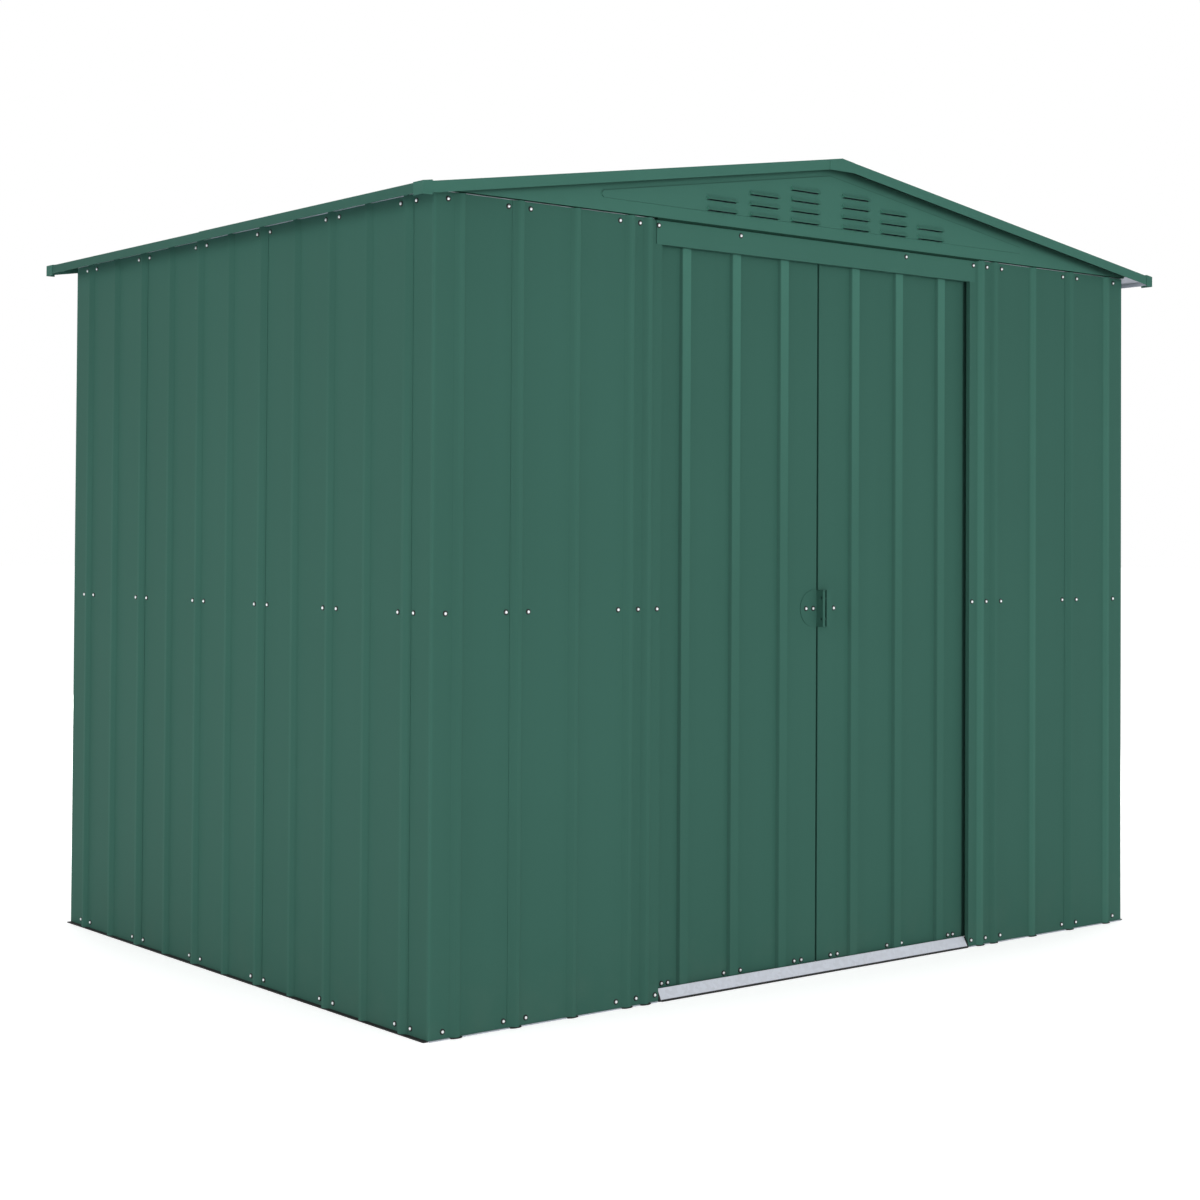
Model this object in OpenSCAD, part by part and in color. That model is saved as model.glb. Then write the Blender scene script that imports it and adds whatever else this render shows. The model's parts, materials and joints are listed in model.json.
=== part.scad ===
// Metal storage shed with a low apex roof, ribbed sheet walls and two sliding doors.
// Millimetres. +X is right seen from the front, +Y runs to the back, +Z is up.
// The origin is at the centre of the base, on the ground.

/* [Wall panels] */
// distance between neighbouring ribs of the wall sheets
rib_pitch = 156; // [120:1:200]
// distance from a corner to the first rib of the front or back wall
corner_to_front_rib = 68; // [50:1:100]
// distance from a corner to the first lapped rib of a side wall
corner_to_side_joint = 94; // [60:1:130]
// sheets in each side wall, not counting the corner sheets
side_panels = 5; // [3:1:9]
// sheets in the back wall, not counting the corner sheets
back_panels = 6; // [5:1:10]
// thickness of the coated steel sheet
sheet_t = 1; // [0.6:0.1:1.6]
// how far a rib stands out of the sheet
rib_h = 10; // [6:0.5:14]
// width of a rib at its foot
rib_foot = 30; // [24:1:40]
// width of a rib at its top
rib_top = 9; // [6:0.5:14]
// how far a sheet runs past the middle of a lapped rib
lap = 20; // [17:1:26]
// height of the lower edge of the wall sheets over the ground
panel_foot_z = 3; // [2:0.5:10]
// strip of the top rail that stays bare over the wall sheets
rail_reveal = 2; // [1:0.5:8]

/* [Frame rails] */
// height of the top of the wall frame
wall_h = 1800; // [1600:5:2100]
// thickness of the galvanised frame rails
rail_t = 1.5; // [1:0.1:2.5]
// height of the outer flange of a floor rail
floor_rail_h = 40; // [25:1:60]
// width of a side or back floor rail
floor_rail_w = 45; // [30:1:70]
// height of the inner lip of a floor rail
floor_lip_h = 15; // [8:1:18]
// height of the outer flange of a top rail
top_rail_h = 45; // [30:1:50]
// width of the front and back top rails
top_rail_w = 56; // [54:1:70]
// width of the side top rails
side_top_rail_w = 40; // [30:1:60]
// height of the middle of the mid rails
mid_rail_z = 900; // [700:5:1100]
// height of a mid rail
mid_rail_h = 50; // [30:1:70]
// depth of a mid rail into the shed
mid_rail_d = 10; // [8:0.5:10]
// end gap of a rail where it stops short of another piece
rail_end_gap = 1; // [0.5:0.1:3]

/* [Doorway] */
// from the last lapped front rib to the rib beside the doorway
jamb_rib_offset = 54; // [46:1:70]
// from the last lapped front rib to the edge of the doorway
jamb_edge_offset = 96; // [85:1:120]
// depth of the folded edge of the doorway
jamb_return = 10; // [6:0.5:10]
// height of the header plate over the doorway
header_h = 58; // [40:1:80]
// gap between the top of the header plate and the top of the wall frame
header_gap = 2; // [1:0.5:5]
// gap between the end of the header plate and the rib beside it
header_end_gap = 9; // [4:1:20]
// depth of the folded lower edge of the header plate
header_lip = 8; // [4:0.5:12]
// height of the crest of the threshold
threshold_h = 28; // [24:0.5:32]
// gap between the threshold and the doorway edge
threshold_gap = 6; // [5:0.5:20]
// how far the foot of the threshold stands in front of the frame line
threshold_out = 5; // [2:0.5:8]
// height of the foot of the threshold over the floor rail
threshold_lift = 1; // [0.5:0.1:3]

/* [Sliding doors] */
// from the frame line back to the flat of a door sheet
door_setback = 25; // [24:0.5:30]
// height of the lower edge of a door
door_foot_z = 24; // [20:0.5:40]
// from the top of the wall frame down to the upper edge of a door
door_head_drop = 52; // [50:1:60]
// gap between the two closed doors
door_gap = 6; // [5:0.5:10]
// how far a closed door reaches behind the doorway edge
door_cover = 20; // [12:1:40]
// depth of the folded door edges
door_fold = 16; // [10:0.5:18]
// from the middle of the shed to the first rib of a door
door_first_rib = 122.5; // [110:0.5:130]
// distance between the ribs of a door
door_rib_pitch = 157.5; // [150:0.5:160]
// width of a door rib at its foot
door_rib_foot = 29; // [26:0.5:34]
// width of a door rib across its flat top
door_rib_top = 25; // [18:0.5:25]
// free play in front of the sliding doors
door_clear = 5; // [5:0.5:8]
// width of the top track
track_w = 24; // [20:1:28]
// height of the top track
track_h = 22; // [18:1:26]
// width of a lip of the top track
track_lip = 6; // [4:0.5:7]
// side clearance of a slider in its track
slider_side_gap = 2; // [1:0.1:3]
// height clearance between a slider and the track lip that carries it
slider_seat_gap = 0.3; // [0.2:0.05:0.5]
// length of a slider or guide along the door
slider_l = 46; // [30:1:70]
// from the door's edges to the middle of a slider or guide
slider_inset = 80; // [60:1:140]
// clearance of a bottom guide over the floor rail
guide_gap = 5.5; // [5:0.5:8]
// thickness of a bottom guide
guide_t = 6; // [4:0.5:8]
// height of a door brace
brace_h = 36; // [24:1:50]
// depth of a door brace
brace_d = 12; // [8:0.5:13]

/* [Door handles] */
// height of the middle of the handles
handle_z = 892; // [700:5:1100]
// height of a handle plate
handle_h = 90; // [70:1:120]
// length of a handle plate across the door
handle_w = 56; // [50:1:70]
// thickness of the handle plates
handle_t = 1.5; // [1:0.1:3]
// how far a handle tab stands out of the door
tab_d = 24.5; // [18:0.5:26]
// diameter of a padlock hole
lock_hole_d = 7; // [6:0.5:9]
// distance between the two padlock holes
lock_hole_pitch = 52; // [40:1:60]
// from the outer edge of a tab to the middle of a padlock hole
lock_hole_edge = 6; // [5:0.5:10]
// width of the folded grip on the right-hand tab
grip_w = 19; // [14:0.5:24]
// distance from the right door's edge to its tab
grip_inset = 6.5; // [6:0.5:12]
// how far the left tab stands past its door's edge
tab_past = 1; // [0:0.5:1]
// width of the strip folded over the left tab
tab_hem = 7.5; // [4:0.5:7.5]

/* [Gables] */
// how far the face of a gable stands in front of the frame line
gable_out = 13; // [12.5:0.5:18]
// height of a gable over the frame at its outer tips
gable_tip_h = 2.5; // [2:0.1:5]
// depth of the folded foot of a gable on the top rail
gable_foot_w = 30; // [20:1:50]
// height of the pressed triangular field
field_h = 3; // [1.5:0.5:4]
// from the foot of a gable to the pressed field
field_foot = 29; // [18:1:40]
// from the roof line down to the pressed field
field_roof = 27; // [24:1:60]
// from the middle of the gable to the blunt ends of the pressed field
field_tip = 717; // [600:1:740]
// corner cut of the blunt ends
field_corner = 5; // [2:0.5:6]
// length of a louvre
louvre_l = 93; // [70:1:110]
// height of a louvre
louvre_h = 12; // [8:0.5:16]
// how far a louvre stands out
louvre_d = 11; // [4:0.5:12]
// height of the lowest louvre over the foot of the gable
louvre_first = 31; // [28:1:40]
// height between louvres
louvre_rise = 25.4; // [20:0.1:30]
// distance between louvre columns
louvre_pitch = 135.5; // [120:0.5:150]
// from the middle of the gable to the middle of the first column
louvre_middle = 87; // [60:1:110]
// louvre columns on each side of the middle
louvre_columns = 3; // [1:1:3]
// louvres in the column nearest the middle
louvre_rows = 4; // [3:1:4]

/* [Roof] */
// slope of the roof
roof_pitch = 8.9; // [6:0.1:14]
// overhang of the roof past the side walls
eave_out = 65; // [45:1:100]
// overhang of the roof past the front and back walls
verge_out = 57; // [50:1:100]
// height of a roof rib
roof_rib_h = 7; // [5:0.5:10]
// sheets on each slope of the roof
roof_panels = 6; // [4:1:10]
// gap between the roof sheets of the two slopes at the ridge
ridge_gap = 3; // [1:0.5:8]
// play between the roof sheets and the frame or trims they touch
roof_play = 0.02; // [0.02:0.01:0.1]
// width of the ridge cap on each slope
ridge_cap_w = 110; // [70:1:160]
// width of the ridge beam
ridge_beam_w = 60; // [40:1:80]
// depth of the ridge beam
ridge_beam_h = 40; // [30:1:40]
// width of a purlin
purlin_w = 40; // [25:1:60]
// depth of a purlin
purlin_h = 36; // [25:1:40]

/* [Roof trims] */
// height of the front face of a gable trim
gable_trim_h = 25; // [18:1:40]
// width of a gable trim on the roof
gable_trim_w = 30; // [20:1:50]
// height of the outer face of an eave trim
eave_trim_h = 22; // [16:1:40]
// width of an eave trim on the roof
eave_trim_w = 25; // [18:1:40]
// length of the lap between the two lengths of an eave trim
eave_lap = 60; // [30:1:100]
// from the middle of the shed to the lap of the eave trims
eave_joint_y = 20; // [-200:5:200]
// half the width of the plate over the trims at the apex
apex_plate_w = 42; // [30:1:80]
// thickness of the corner caps
cap_t = 1.5; // [1:0.1:2.5]
// length of a corner cap along the gable trim
cap_front_w = 22; // [15:1:40]
// length of a corner cap along the eave trim
cap_side_w = 35; // [20:1:60]
// height of a corner cap
cap_h = 28; // [24:1:45]

/* [Hidden] */
$fn = 48;
paint = "#44705F";
zinc = "#C4CAD2";
plastic = "#2A2C2E";

half_w = corner_to_front_rib + rib_pitch + back_panels * rib_pitch;
half_d = corner_to_side_joint + side_panels * rib_pitch;
panel_top_z = wall_h - rail_reveal;
panel_h = panel_top_z - panel_foot_z;
first_joint = corner_to_front_rib + rib_pitch;
last_joint = first_joint + 2 * rib_pitch;
jamb_edge = last_joint + jamb_edge_offset;
door_half = half_w - jamb_edge;
face_out = 3 * sheet_t;

// sheets lap over and under in turn round the shed, so each one has a level
function level(i) = i % 2;
left_corner = 0;
back_left_corner = side_panels + 1;
back_right_corner = back_left_corner + back_panels + 1;
front_right_corner = back_right_corner + side_panels + 1;

// roof surfaces lie over the roof's underside at the wall frame
tan_roof = tan(roof_pitch);
cos_roof = cos(roof_pitch);
eave_z = wall_h + gable_tip_h;
apex_z = eave_z + half_w * tan_roof;
roof_skin = roof_rib_h + 2 * sheet_t + 2 * roof_play;
eave_x = half_w + eave_out;
verge_y = half_d + verge_out;
function roof_z(x, over) = apex_z - x * tan_roof + over / cos_roof;

function backwards(list) = [for (i = [len(list) - 1 : -1 : 0]) list[i]];
function after_first(list) = [for (i = [1 : len(list) - 1]) list[i]];

// line of a ribbed sheet: distance along the wall, then distance out of the frame line
function rib_line(from, to, ribs, out, h = rib_h, foot = rib_foot, top = rib_top) = concat(
  [[from, out]],
  [for (r = ribs) each [
    [r - foot / 2, out], [r - top / 2, out + h], [r + top / 2, out + h], [r + foot / 2, out]]],
  [[to, out]]);

module ribbed_sheet(from, to, ribs, lev, length, h = rib_h) {
  linear_extrude(length)
    polygon(concat(
      rib_line(from, to, ribs, lev * sheet_t, h),
      backwards(rib_line(from, to, ribs, (lev + 1) * sheet_t, h))));
}

// a profile in Y and Z, drawn along X
module along_x(from, to) {
  translate([from, 0, 0]) rotate([90, 0, 90]) linear_extrude(to - from) children();
}

// a profile in X and Z, drawn along Y
module along_y(from, to) {
  translate([0, to, 0]) rotate([90, 0, 0]) linear_extrude(to - from) children();
}

module both_sides() {
  children();
  mirror([1, 0, 0]) children();
}

module both_ends() {
  children();
  mirror([0, 1, 0]) children();
}

// floor frame

module floor_profile(width) {
  polygon([[0, 0], [width, 0], [width, floor_lip_h], [width - rail_t, floor_lip_h],
    [width - rail_t, rail_t], [rail_t, rail_t], [rail_t, floor_rail_h], [0, floor_rail_h]]);
}

// the front rail is wide enough for the bottom guides of the doors
front_rail_w = door_setback + sheet_t + brace_d + guide_gap * 2 + rail_t;

module end_floor_rail(width) {
  along_x(-half_w, half_w)
    translate([-half_d, 0]) square([rail_t, floor_rail_h]);
  along_x(-half_w + floor_rail_w, half_w - floor_rail_w)
    translate([-half_d, 0]) floor_profile(width);
}

module front_floor_rail() {
  color(zinc) difference() {
    end_floor_rail(front_rail_w);
    translate([-door_half - sheet_t, -half_d - 1, rail_t])
      cube([2 * (door_half + sheet_t), rail_t + 1, floor_rail_h]);
  }
}

module back_floor_rail() {
  color(zinc) mirror([0, 1, 0]) end_floor_rail(floor_rail_w);
}

module side_floor_rails() {
  color(zinc) both_sides()
    along_y(-half_d + rail_t, half_d - rail_t)
      translate([-half_w, 0]) floor_profile(floor_rail_w);
}

// a steep ramp in front of the doors, with a leg behind its crest
module door_threshold() {
  leg = door_setback - rib_h - door_clear;
  crest = leg - sheet_t;
  top = threshold_h - rail_t;
  run = crest + threshold_out;
  rise = top - threshold_lift;
  thick = sheet_t * norm([run, rise]) / rise;
  half = door_half - threshold_gap;
  color(zinc) along_x(-half, half) translate([-half_d, rail_t])
    polygon([[-threshold_out, threshold_lift], [thick - threshold_out, threshold_lift],
      [crest, top - thick * rise / run], [crest, 0], [leg, 0], [leg, top], [crest, top]]);
}

// wall sheets

module corner_sheet(lev) {
  inner = lev * sheet_t;
  outer = inner + sheet_t;
  front_ribs = [corner_to_front_rib, first_joint];
  side_ribs = [corner_to_side_joint];
  front_end = first_joint + lap;
  side_end = corner_to_side_joint + lap;
  front_out = [for (q = rib_line(-outer, front_end, front_ribs, outer)) [q[0], -q[1]]];
  front_in = [for (q = rib_line(-inner, front_end, front_ribs, inner)) [q[0], -q[1]]];
  side_out = [for (q = rib_line(-outer, side_end, side_ribs, outer)) [-q[1], q[0]]];
  side_in = [for (q = rib_line(-inner, side_end, side_ribs, inner)) [-q[1], q[0]]];
  translate([-half_w, -half_d, panel_foot_z]) linear_extrude(panel_h)
    polygon(concat(backwards(front_out), after_first(side_out),
      backwards(side_in), after_first(front_in)));
}

module front_left_corner_panel() {
  color(paint) corner_sheet(level(left_corner));
}

module front_right_corner_panel() {
  color(paint) mirror([1, 0, 0]) corner_sheet(level(front_right_corner));
}

module back_left_corner_panel() {
  color(paint) mirror([0, 1, 0]) corner_sheet(level(back_left_corner));
}

module back_right_corner_panel() {
  color(paint) mirror([1, 0, 0]) mirror([0, 1, 0]) corner_sheet(level(back_right_corner));
}

// sheet number i along a wall, counted from the corner, with a lapped rib at each edge
module wall_sheet(first, i, lev, height = panel_h) {
  from = first + 2 * rib_pitch * i;
  ribs = [from, from + rib_pitch, from + 2 * rib_pitch];
  ribbed_sheet(from - lap, from + 2 * rib_pitch + lap, ribs, lev, height);
}

module left_wall(lev) {
  translate([-half_w, -half_d, panel_foot_z]) rotate([0, 0, 90])
    for (i = [0 : side_panels - 1])
      if (level(left_corner + 1 + i) == lev) side_sheet(i, lev);
}

module right_wall(lev) {
  mirror([1, 0, 0]) translate([-half_w, -half_d, panel_foot_z]) rotate([0, 0, 90])
    for (i = [0 : side_panels - 1])
      if (level(front_right_corner + 1 + i) == lev) side_sheet(i, lev);
}

module side_sheet(i, lev) {
  wall_sheet(corner_to_side_joint, i, lev);
}

module back_wall(lev) {
  translate([-half_w, half_d, panel_foot_z])
    for (i = [0 : back_panels - 1])
      if (level(back_left_corner + 1 + i) == lev) wall_sheet(first_joint, i, lev);
}

module left_wall_over_panels() { color(paint) left_wall(1); }
module left_wall_under_panels() { color(paint) left_wall(0); }
module right_wall_over_panels() { color(paint) right_wall(1); }
module right_wall_under_panels() { color(paint) right_wall(0); }
module back_wall_over_panels() { color(paint) back_wall(1); }
module back_wall_under_panels() { color(paint) back_wall(0); }

module front_sheet(lev) {
  translate([-half_w, -half_d, panel_foot_z]) mirror([0, 1, 0]) wall_sheet(first_joint, 0, lev);
}

module front_left_panel() { color(paint) front_sheet(level(left_corner + 1)); }

module front_right_panel() {
  color(paint) mirror([1, 0, 0]) front_sheet(level(front_right_corner + 1));
}

// narrow sheet beside the doorway, folded back at its free edge
module jamb_sheet(lev) {
  inner = lev * sheet_t;
  outer = inner + sheet_t;
  ribs = [last_joint, last_joint + jamb_rib_offset];
  from = last_joint - lap;
  difference() {
    translate([-half_w, -half_d, panel_foot_z]) mirror([0, 1, 0]) linear_extrude(panel_h)
      polygon(concat(
        rib_line(from, jamb_edge, ribs, outer),
        [[jamb_edge, -jamb_return], [jamb_edge - sheet_t, -jamb_return]],
        backwards(rib_line(from, jamb_edge - sheet_t, ribs, inner))));
    // the folded edge stops under the top rail
    translate([-door_half - 2 * sheet_t, -half_d, wall_h - top_rail_h])
      cube([3 * sheet_t, jamb_return + 1, top_rail_h]);
  }
}

module left_door_jamb() { color(paint) jamb_sheet(level(left_corner)); }

module right_door_jamb() {
  color(paint) mirror([1, 0, 0]) jamb_sheet(level(front_right_corner));
}

module header_plate() {
  half = door_half + jamb_edge_offset - jamb_rib_offset - rib_foot / 2 - header_end_gap;
  lip_half = door_half - sheet_t - rail_end_gap;
  foot = wall_h - header_gap - header_h;
  color(paint) {
    along_x(-half, half)
      translate([-half_d - face_out, foot]) square([sheet_t, header_h]);
    along_x(-lip_half, lip_half)
      translate([-half_d - face_out, foot]) square([face_out + header_lip, sheet_t]);
  }
}

// wall frame

module top_profile(width) {
  polygon([[0, -top_rail_h], [rail_t, -top_rail_h], [rail_t, -rail_t],
    [width, -rail_t], [width, 0], [0, 0]]);
}

module end_top_rail() {
  along_x(-half_w, half_w) translate([-half_d, wall_h]) top_profile(top_rail_w);
}

module front_top_rail() { color(zinc) end_top_rail(); }
module back_top_rail() { color(zinc) mirror([0, 1, 0]) end_top_rail(); }

// the side rails lean with the roof, which lies on them
module side_top_rails() {
  run = half_d - top_rail_w;
  thick = rail_t / cos_roof;
  color(zinc) both_sides() along_y(-run, run)
    translate([-half_w, eave_z])
      polygon([[0, -top_rail_h], [rail_t, -top_rail_h], [rail_t, rail_t * tan_roof - thick],
        [side_top_rail_w, side_top_rail_w * tan_roof - thick],
        [side_top_rail_w, side_top_rail_w * tan_roof], [0, 0]]);
}

module channel_profile(depth, height) {
  polygon([[0, 0], [depth, 0], [depth, rail_t], [rail_t, rail_t],
    [rail_t, height - rail_t], [depth, height - rail_t], [depth, height], [0, height]]);
}

module mid_profile() {
  translate([0, mid_rail_z - mid_rail_h / 2]) channel_profile(mid_rail_d, mid_rail_h);
}

module front_mid_rails() {
  color(zinc) both_sides()
    along_x(-half_w, -door_half - sheet_t - rail_end_gap)
      translate([-half_d, 0]) mid_profile();
}

module back_mid_rail() {
  color(zinc) mirror([0, 1, 0])
    along_x(-half_w, half_w) translate([-half_d, 0]) mid_profile();
}

module side_mid_rails() {
  run = half_d - mid_rail_d - rail_end_gap;
  color(zinc) both_sides()
    along_y(-run, run) translate([-half_w, 0]) mid_profile();
}

// the sliders of the doors run in the track, over the door's own braces
track_y = -half_d + door_setback + sheet_t + brace_d / 2;
track_top = wall_h - rail_t;

module door_top_track() {
  side = track_w / 2;
  slot = side - rail_t - track_lip;
  run = half_w - floor_rail_w;
  color(zinc) along_x(-run, run) translate([track_y, track_top - track_h])
    polygon([[-side, 0], [-slot, 0], [-slot, rail_t], [-side + rail_t, rail_t],
      [-side + rail_t, track_h - rail_t], [side - rail_t, track_h - rail_t],
      [side - rail_t, rail_t], [slot, rail_t], [slot, 0], [side, 0],
      [side, track_h], [-side, track_h]]);
}

// gables

gable_face = half_d + gable_out;

module field_outline(inset) {
  foot = wall_h + field_foot + inset;
  top = apex_z - field_roof - inset / cos_roof;
  tip = field_tip - inset;
  near = tip - field_corner;
  shoulder = top - near * tan_roof;
  polygon([[-near, foot], [near, foot], [tip, foot + field_corner],
    [tip, shoulder - field_corner], [near, shoulder], [0, top],
    [-near, shoulder], [-tip, shoulder - field_corner], [-tip, foot + field_corner]]);
}

// one louvre is a sloping hood that is open along its lower edge
module louvre_hood() {
  along_x(-louvre_l / 2, louvre_l / 2) polygon([[0, 0], [0, louvre_h], [-louvre_d, 0]]);
}

// the hollow under a hood goes on through the sheet behind it
module louvre_hollow() {
  half = louvre_l / 2 - sheet_t;
  through = 2 * sheet_t;
  along_x(-half, half)
    polygon([[through, -sheet_t], [through, louvre_h - 2 * sheet_t], [0, louvre_h - 2 * sheet_t],
      [sheet_t - louvre_d, 0], [sheet_t - louvre_d, -sheet_t]]);
}

module each_louvre() {
  for (column = [0 : louvre_columns - 1])
    for (row = [0 : louvre_rows - 1 - column])
      both_sides()
        translate([louvre_middle + column * louvre_pitch, -gable_face - field_h,
            wall_h + louvre_first + row * louvre_rise])
          children();
}

module gable_sheet() {
  difference() {
    union() {
      difference() {
        along_y(-gable_face, -gable_face + sheet_t)
          polygon([[-half_w, wall_h], [half_w, wall_h], [half_w, eave_z],
            [0, apex_z], [-half_w, eave_z]]);
        along_y(-gable_face - 1, -gable_face + 2 * sheet_t) field_outline(sheet_t);
      }
      along_y(-gable_face - field_h, -gable_face) difference() {
        field_outline(0);
        field_outline(sheet_t);
      }
      along_y(-gable_face - field_h, -gable_face - field_h + sheet_t) field_outline(0);
      along_x(-half_w, half_w)
        translate([-gable_face, wall_h]) square([gable_out + gable_foot_w, sheet_t]);
      each_louvre() louvre_hood();
    }
    each_louvre() louvre_hollow();
  }
}

module front_gable() { color(paint) gable_sheet(); }
module back_gable() { color(paint) mirror([0, 1, 0]) gable_sheet(); }

// roof

beam_run = gable_face - sheet_t;

module ridge_beam() {
  side = ridge_beam_w / 2;
  inside = side - rail_t;
  foot = roof_z(side, 0) - ridge_beam_h + side * tan_roof;
  color(zinc) along_y(-beam_run, beam_run)
    polygon([[-side, foot], [-side, roof_z(side, 0)], [0, apex_z], [side, roof_z(side, 0)],
      [side, foot], [inside, foot], [inside, roof_z(inside, -rail_t)],
      [0, roof_z(0, -rail_t)], [-inside, roof_z(inside, -rail_t)], [-inside, foot]]);
}

module roof_purlins() {
  from = half_w / 2 - purlin_w / 2;
  to = from + purlin_w;
  foot = roof_z(to, 0) - purlin_h;
  color(zinc) both_sides() along_y(-beam_run, beam_run)
    polygon([[from, foot], [from, roof_z(from, 0)], [to, roof_z(to, 0)], [to, foot],
      [to - rail_t, foot], [to - rail_t, roof_z(to - rail_t, -rail_t)],
      [from + rail_t, roof_z(from + rail_t, -rail_t)], [from + rail_t, foot]]);
}

// one slope of the roof, with its sheets over and under in turn from the front
roof_run = verge_y - sheet_t;
roof_edge_rib = rib_foot / 2 + sheet_t;
roof_module = 2 * (roof_run - roof_edge_rib) / roof_panels;

module roof_slope(lev) {
  length = (eave_x - 3 * sheet_t) / cos_roof - ridge_gap;
  translate([0, 0, apex_z]) rotate([0, roof_pitch, 0]) translate([ridge_gap, 0, roof_play])
    for (i = [0 : roof_panels - 1])
      if (level(i) == lev) roof_sheet(i, lev, length);
}

module roof_sheet(i, lev, length) {
  first = -roof_run + roof_edge_rib + i * roof_module;
  ribs = [first, first + roof_module / 2, first + roof_module];
  from = max(-roof_run, first - lap);
  to = min(roof_run, first + roof_module + lap);
  rotate([90, 0, 90]) ribbed_sheet(from, to, ribs, lev, length, roof_rib_h);
}

module right_roof_over_panels() { color(paint) roof_slope(1); }
module right_roof_under_panels() { color(paint) roof_slope(0); }
module left_roof_over_panels() { color(paint) mirror([1, 0, 0]) roof_slope(1); }
module left_roof_under_panels() { color(paint) mirror([1, 0, 0]) roof_slope(0); }

// flat strip that lies on the roof ribs between two distances from the ridge
module roof_strip(from, to, over) {
  polygon([[from, roof_z(from, over)], [to, roof_z(to, over)],
    [to, roof_z(to, over + sheet_t)], [from, roof_z(from, over + sheet_t)]]);
}

module ridge_cap() {
  run = verge_y - gable_trim_w - rail_end_gap;
  color(paint) along_y(-run, run) both_sides() roof_strip(0, ridge_cap_w, roof_skin);
}

// roof trims

module eave_trim(from, to, lev) {
  over = roof_skin + lev * sheet_t;
  outer = eave_x + lev * sheet_t;
  along_y(from, to) union() {
    roof_strip(eave_x - eave_trim_w, outer, over);
    translate([outer - sheet_t, roof_z(outer, over + sheet_t) - eave_trim_h])
      square([sheet_t, eave_trim_h]);
  }
}

// the front lengths lie over the back ones
module front_eave_trims() {
  color(paint) both_sides()
    eave_trim(-verge_y + sheet_t, eave_joint_y + eave_lap / 2, 1);
}

module back_eave_trims() {
  color(paint) both_sides()
    eave_trim(eave_joint_y - eave_lap / 2, verge_y - sheet_t, 0);
}

module gable_trim() {
  flange_end = eave_x - eave_trim_w - rail_end_gap;
  face_end = eave_x - sheet_t;
  along_y(-verge_y, -verge_y + gable_trim_w) roof_strip(0, flange_end, roof_skin);
  along_y(-verge_y, -verge_y + sheet_t)
    polygon([[0, roof_z(0, roof_skin + sheet_t)], [face_end, roof_z(face_end, roof_skin + sheet_t)],
      [face_end, roof_z(face_end, roof_skin + sheet_t) - gable_trim_h],
      [0, roof_z(0, roof_skin + sheet_t) - gable_trim_h]]);
}

module right_gable_trims() { color(paint) both_ends() gable_trim(); }
module left_gable_trims() { color(paint) mirror([1, 0, 0]) both_ends() gable_trim(); }

module apex_plates() {
  top = roof_z(0, roof_skin + sheet_t);
  side = top - apex_plate_w * tan_roof;
  foot = side - gable_trim_h;
  color(paint) both_ends() along_y(-verge_y - sheet_t, -verge_y)
    polygon([[-apex_plate_w, foot], [apex_plate_w, foot], [apex_plate_w, side],
      [0, top], [-apex_plate_w, side]]);
}

// a cap wraps the corner where a gable trim meets an eave trim
module corner_cap(lev) {
  from = eave_x - cap_front_w;
  inner_x = eave_x + lev * sheet_t;
  outer_x = inner_x + cap_t;
  over = roof_skin + (lev + 1) * sheet_t;
  front = -verge_y;
  foot = roof_z(outer_x, over + cap_t) - cap_h;
  along_y(front - cap_t, front)
    polygon([[from, foot], [outer_x, foot], [outer_x, roof_z(outer_x, over + cap_t)],
      [from, roof_z(from, over + cap_t)]]);
  along_y(front, front + cap_side_w)
    polygon([[inner_x, foot], [outer_x, foot], [outer_x, roof_z(outer_x, over + cap_t)],
      [from, roof_z(from, over + cap_t)], [from, roof_z(from, over)],
      [inner_x, roof_z(inner_x, over)]]);
}

module roof_corner_caps() {
  color(paint) both_sides() {
    corner_cap(1);
    mirror([0, 1, 0]) corner_cap(0);
  }
}

// sliding doors, drawn for the right-hand side

door_in = door_gap / 2;
door_out = door_half + door_cover;
door_top_z = wall_h - door_head_drop;
door_h = door_top_z - door_foot_z;
door_face_y = -half_d + door_setback;
door_ribs = [for (i = [0 : 2]) door_first_rib + i * door_rib_pitch];
// the inner line of a door rib is drawn in so that its steep sides keep the sheet's thickness
door_rib_run = (door_rib_foot - door_rib_top) / 2;
door_rib_in = 2 * sheet_t * (norm([door_rib_run, rib_h]) - door_rib_run) / rib_h;

module door_sheet() {
  back = -door_setback - door_fold;
  flat_out = -door_setback;
  flat_in = flat_out - sheet_t;
  translate([0, -half_d, door_foot_z]) mirror([0, 1, 0]) linear_extrude(door_h)
    polygon(concat(
      [[door_in, back]],
      rib_line(door_in, door_out, door_ribs, flat_out, rib_h, door_rib_foot, door_rib_top),
      [[door_out, back], [door_out - sheet_t, back]],
      backwards(rib_line(door_in + sheet_t, door_out - sheet_t, door_ribs, flat_in, rib_h,
        door_rib_foot - door_rib_in, door_rib_top - door_rib_in)),
      [[door_in + sheet_t, back]]));
}

module right_door_panel() { color(paint) door_sheet(); }
module left_door_panel() { color(paint) mirror([1, 0, 0]) door_sheet(); }

brace_in = door_in + sheet_t;
brace_out = door_out - sheet_t;

module door_braces() {
  for (z = [door_foot_z, mid_rail_z - brace_h / 2, door_top_z - brace_h])
    along_x(brace_in, brace_out)
      translate([door_face_y + sheet_t, z]) channel_profile(brace_d, brace_h);
}

module right_door_braces() { color(zinc) door_braces(); }
module left_door_braces() { color(zinc) mirror([1, 0, 0]) door_braces(); }

slider_places = [door_in + slider_inset, door_out - slider_inset];

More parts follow.
